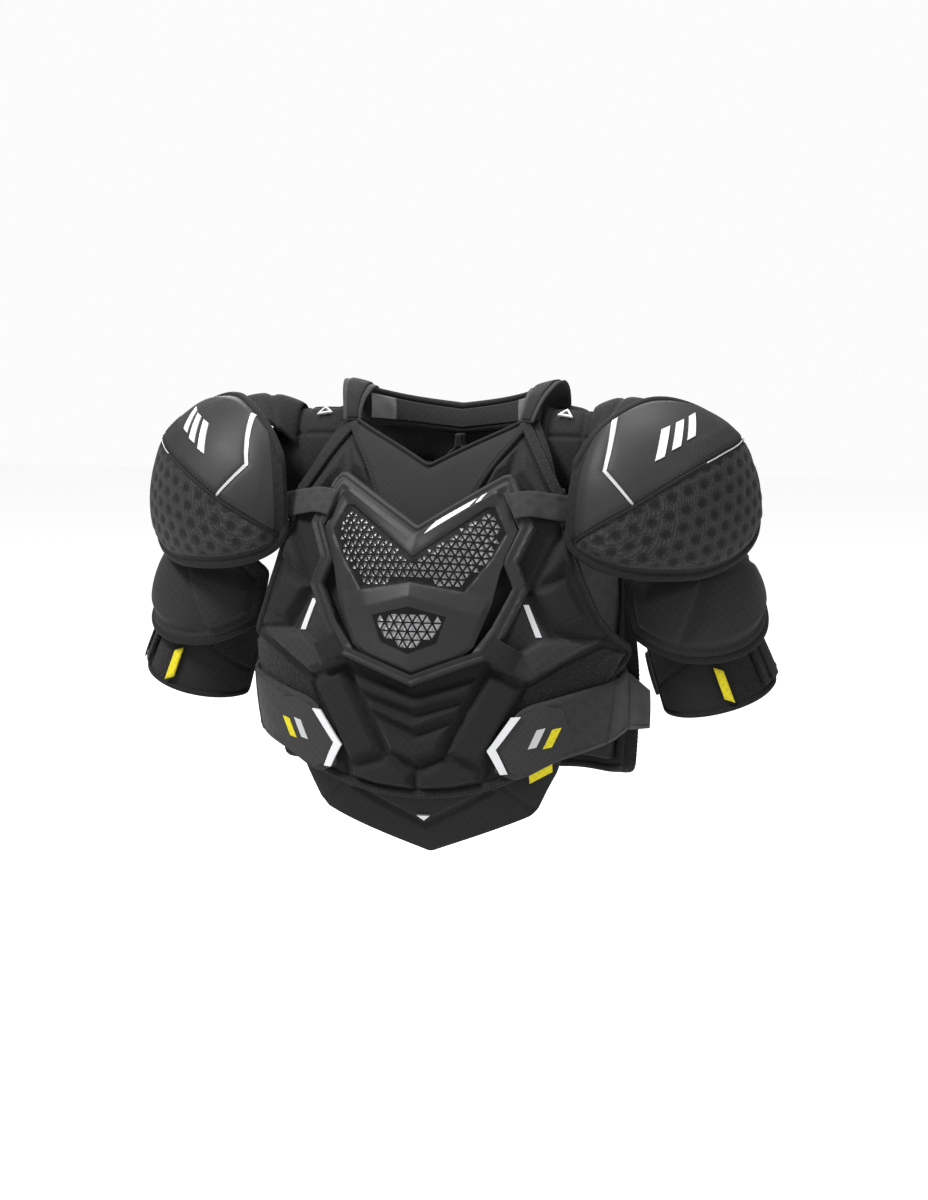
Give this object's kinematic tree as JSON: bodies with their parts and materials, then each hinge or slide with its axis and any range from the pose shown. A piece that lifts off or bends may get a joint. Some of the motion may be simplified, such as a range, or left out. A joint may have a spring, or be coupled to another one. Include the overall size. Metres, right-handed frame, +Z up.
{
  "type": "ice hockey shoulder pads",
  "caption": "Black ice hockey shoulder pads: foam front and back, moulded chest plate, domed shoulder caps, bicep guards with cuffs, hook-and-loop belts and a belly extension pad.",
  "frame": {"origin": "on the axis of the wearer's trunk, which is under the neck opening on the left-right mid-plane, level with the lowest tip of the belly pad", "axes": "+Z up, the wearer faces -Y, +X is the wearer's left"},
  "size_m": [0.5986, 0.2591, 0.4233],
  "materials": {
    "foam_fabric": "woven black polyester over foam",
    "lining": "brushed mesh lining",
    "charcoal_knit": "smooth charcoal knit",
    "loop_fabric": "napped loop fabric",
    "webbing": "grey-black elastic webbing",
    "moulded_plastic": "matt moulded plastic",
    "insert_plastic": "polyethylene inserts",
    "screen": "silver-grey triangular screen",
    "white_print": "white and silver print",
    "cap_skin": "grained synthetic leather",
    "yellow_label": "yellow woven label"
  },
  "bodies": {
    "front": {"chest_panel": "foam_fabric", "chest_liner": "lining", "neck_bib": "charcoal_knit", "loop_patch_left": "loop_fabric", "loop_patch_right": "loop_fabric", "size_tag": "yellow_label", "shoulder_arch_left": "foam_fabric", "shoulder_arch_right": "foam_fabric", "collar_loop_left": "webbing", "collar_loop_right": "webbing"},
    "back": {"back_panel": "foam_fabric", "back_liner": "lining", "spine_plate": "foam_fabric", "scapula_pad_left": "foam_fabric", "scapula_pad_right": "foam_fabric", "collar": "foam_fabric", "hang_loop": "webbing", "belt_base_left": "webbing", "belt_base_right": "webbing"},
    "plate": {"chest_plate": "moulded_plastic", "plate_rim": "moulded_plastic", "plate_mesh": "screen", "plate_badge": "white_print", "plate_retainers": "webbing"},
    "extension": {"extension_pad": "foam_fabric", "extension_hook_strip": "loop_fabric"},
    "belt_left": {"belt_flap_left": "webbing", "belt_badge_left": "white_print"},
    "cap_left": {"cap_cover_left": "cap_skin", "cap_shell_left": "insert_plastic", "cap_liner_left": "lining", "cap_wing_left": "foam_fabric"},
    "arm_left": {"bicep_guard_left": "foam_fabric", "bicep_shell_left": "insert_plastic", "cuff_left": "loop_fabric", "arm_strap_left": "webbing", "strap_tag_left": "yellow_label", "arm_link_left": "webbing"},
    "strap_left": {"strap_tail_left": "webbing"},
    "belt_right": {"belt_flap_right": "webbing", "belt_badge_right": "white_print"},
    "cap_right": {"cap_cover_right": "cap_skin", "cap_shell_right": "insert_plastic", "cap_liner_right": "lining", "cap_wing_right": "foam_fabric"},
    "arm_right": {"bicep_guard_right": "foam_fabric", "bicep_shell_right": "insert_plastic", "cuff_right": "loop_fabric", "arm_strap_right": "webbing", "strap_tag_right": "yellow_label", "arm_link_right": "webbing"},
    "strap_right": {"strap_tail_right": "webbing"}
  },
  "joints": [
    {"name": "back_swing", "type": "hinge", "parent": "front", "child": "back", "pos_m": [0, 0.05, 0.415], "axis": [1, 0, 0], "range_deg": [0, 8]},
    {"name": "plate_float", "type": "slide", "parent": "front", "child": "plate", "axis": [0, -1, 0], "range_m": [0, 0.004], "stiffness_N_per_m": 400},
    {"name": "extension_fold", "type": "hinge", "parent": "front", "child": "extension", "pos_m": [0, -0.112, 0.136], "axis": [1, 0, 0], "range_deg": [0, 25]},
    {"name": "belt_open_left", "type": "hinge", "parent": "back", "child": "belt_left", "pos_m": [0.1695, -0.0245, 0.143], "axis": [0, 0, 1], "range_deg": [0, 48]},
    {"name": "cap_lift_left", "type": "hinge", "parent": "front", "child": "cap_left", "pos_m": [0.138, 0, 0.404], "axis": [0, -1, 0], "range_deg": [0, 40]},
    {"name": "arm_swing_left", "type": "hinge", "parent": "cap_left", "child": "arm_left", "pos_m": [0.186, 0.012, 0.314], "axis": [0.6157, -0.788, 0], "range_deg": [0, 15]},
    {"name": "strap_open_left", "type": "hinge", "parent": "arm_left", "child": "strap_left", "pos_m": [0.28264, 0.04653, 0.18753], "axis": [-0.3398, -0.0755, 0.9375], "range_deg": [0, 50], "stiffness_Nm_per_rad": 0.02},
    {"name": "belt_open_right", "type": "hinge", "parent": "back", "child": "belt_right", "pos_m": [-0.1695, -0.0245, 0.143], "axis": [0, 0, -1], "range_deg": [0, 48]},
    {"name": "cap_lift_right", "type": "hinge", "parent": "front", "child": "cap_right", "pos_m": [-0.138, 0, 0.404], "axis": [0, 1, 0], "range_deg": [0, 40]},
    {"name": "arm_swing_right", "type": "hinge", "parent": "cap_right", "child": "arm_right", "pos_m": [-0.186, 0.012, 0.314], "axis": [0.6157, 0.788, 0], "range_deg": [0, 15]},
    {"name": "strap_open_right", "type": "hinge", "parent": "arm_right", "child": "strap_right", "pos_m": [-0.28264, 0.04653, 0.18753], "axis": [-0.3398, 0.0755, -0.9375], "range_deg": [0, 50], "stiffness_Nm_per_rad": 0.02}
  ],
  "couplings": [
    {"joint": "belt_open_left", "follows": "back_swing", "ratio": 6},
    {"joint": "belt_open_right", "follows": "back_swing", "ratio": 6}
  ]
}
